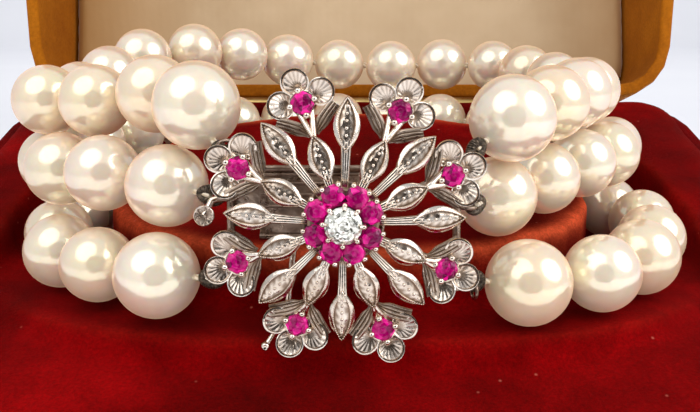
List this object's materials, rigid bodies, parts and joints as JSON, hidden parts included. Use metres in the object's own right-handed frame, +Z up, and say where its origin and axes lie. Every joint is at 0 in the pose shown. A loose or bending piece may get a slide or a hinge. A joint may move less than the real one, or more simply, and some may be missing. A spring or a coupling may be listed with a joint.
{
  "type": "pearl, ruby and diamond bracelet in its velvet box",
  "caption": "Multi-strand pearl bracelet with a flower-shaped white gold clasp set with rubies and a diamond, standing round a velvet cushion in an open hinged box.",
  "frame": {"origin": "middle of the flat underside of the box's base, on the surface it stands on", "axes": "+Z up, +Y towards the hinge and the open lid, +X to the right of someone facing the clasp"},
  "size_m": [0.106, 0.1284, 0.1194],
  "materials": {
    "pearl": "cultured pearl, cream with rose and green overtones, soft sheen",
    "white_gold": "polished white gold, warm grey reflections",
    "ruby": "clear pinkish red, round cut and polished",
    "diamond": "colourless, brilliant cut and polished",
    "silk": "cream silk thread, knotted between the pearls",
    "gimp_wire": "darkened coiled French wire",
    "pad_velvet": "deep red velvet pad, worn paler at its edges",
    "red_velvet": "red velvet covering over a board shell",
    "ochre_suede": "ochre flock, matt",
    "cream_satin": "cream satin over a thin pad",
    "brass": "plain brass hinge"
  },
  "bodies": {
    "base": {"box_base": "red_velvet", "velvet_pad": "pad_velvet", "hinge_base_leaf": "brass", "clasp_flower": "white_gold", "clasp_tongue": "white_gold", "gimp_top_left": "gimp_wire", "gimp_top_right": "gimp_wire", "pearl_top_01": "pearl", "pearl_top_02": "pearl", "pearl_top_03": "pearl", "pearl_top_04": "pearl", "pearl_top_05": "pearl", "pearl_top_06": "pearl", "pearl_top_16": "pearl", "pearl_top_17": "pearl", "pearl_top_18": "pearl", "pearl_top_19": "pearl", "pearl_top_20": "pearl", "pearl_top_21": "pearl", "pearls_top_back_1": "pearl", "pearls_top_back_2": "pearl", "pearls_top_back_3": "pearl", "gimp_middle_left": "gimp_wire", "gimp_middle_right": "gimp_wire", "pearl_middle_01": "pearl", "pearl_middle_02": "pearl", "pearl_middle_03": "pearl", "pearl_middle_04": "pearl", "pearl_middle_05": "pearl", "pearl_middle_06": "pearl", "pearl_middle_16": "pearl", "pearl_middle_17": "pearl", "pearl_middle_18": "pearl", "pearl_middle_19": "pearl", "pearl_middle_20": "pearl", "pearl_middle_21": "pearl", "pearls_middle_back_1": "pearl", "pearls_middle_back_2": "pearl", "pearls_middle_back_3": "pearl", "gimp_bottom_left": "gimp_wire", "gimp_bottom_right": "gimp_wire", "pearl_bottom_01": "pearl", "pearl_bottom_02": "pearl", "pearl_bottom_03": "pearl", "pearl_bottom_04": "pearl", "pearl_bottom_05": "pearl", "pearl_bottom_06": "pearl", "pearl_bottom_16": "pearl", "pearl_bottom_17": "pearl", "pearl_bottom_18": "pearl", "pearl_bottom_19": "pearl", "pearl_bottom_20": "pearl", "pearl_bottom_21": "pearl", "pearls_bottom_back_1": "pearl", "pearls_bottom_back_2": "pearl", "pearls_bottom_back_3": "pearl"},
    "lid": {"lid_shell": "ochre_suede", "lid_panel": "cream_satin", "hinge_lid_leaf": "brass"}
  },
  "joints": [
    {"name": "lid_hinge", "type": "hinge", "parent": "base", "child": "lid", "pos_m": [0, 0.045, 0.0295], "axis": [1, 0, 0], "range_deg": [0, 105]}
  ]
}
